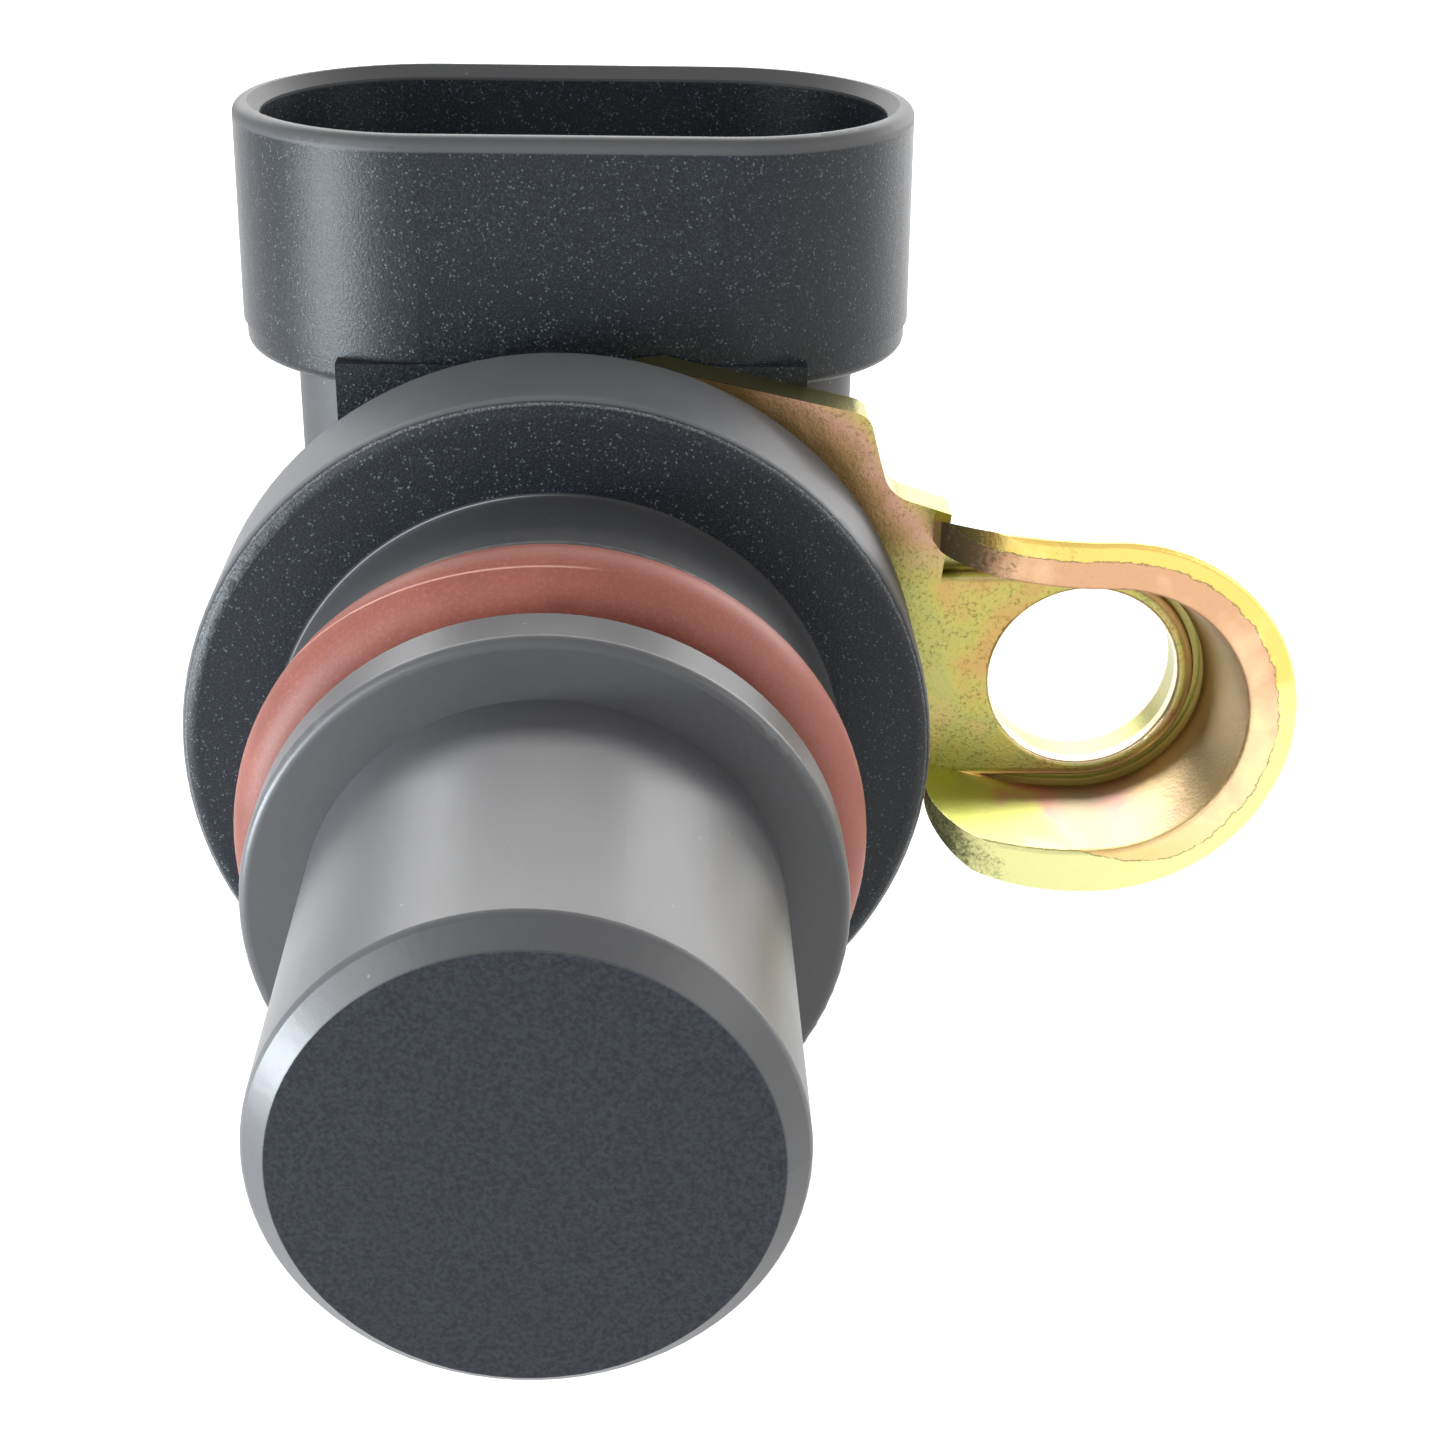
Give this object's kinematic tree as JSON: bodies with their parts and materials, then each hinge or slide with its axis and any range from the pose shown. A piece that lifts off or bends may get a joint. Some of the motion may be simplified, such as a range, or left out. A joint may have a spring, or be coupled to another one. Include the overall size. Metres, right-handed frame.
{
  "type": "camshaft position sensor",
  "caption": "Black moulded sensor with a round probe and seal ring, a flange, a plated steel bracket with a lipped bolt ear and an upright plug socket.",
  "frame": {"origin": "where the probe's axis crosses the flange's seating face", "axes": "-Y along the probe to its tip, +Z out of the plug socket's mouth, +X from the probe's axis towards the bolt ear"},
  "size_m": [0.0469, 0.0555, 0.0395],
  "materials": {
    "housing": "black glass-filled moulding, spark-textured with smooth turned faces",
    "seal": "terracotta silicone rubber, matt with a fine mould line",
    "bracket": "pressed steel, yellow passivated zinc with an iridescent bloom",
    "carrier": "plain dark moulding",
    "chip": "moulded chip package",
    "pole": "soft iron disc",
    "magnet": "sintered magnet",
    "board": "green solder resist",
    "capacitor": "ceramic chip",
    "resistor": "chip resistor",
    "lead": "tinned",
    "terminal": "tinned brass blade"
  },
  "bodies": {
    "root": {"housing": "housing", "seal_ring": "seal", "mounting_bracket": "bracket", "carrier": "carrier", "sensing_chip": "chip", "pole_disc": "pole", "magnet": "magnet", "circuit_board": "board", "supply_capacitor": "capacitor", "output_capacitor": "capacitor", "pull_up_resistor": "resistor", "chip_lead_supply": "lead", "chip_lead_signal": "lead", "chip_lead_ground": "lead", "terminal_supply": "terminal", "terminal_signal": "terminal", "terminal_ground": "terminal"}
  },
  "joints": []
}
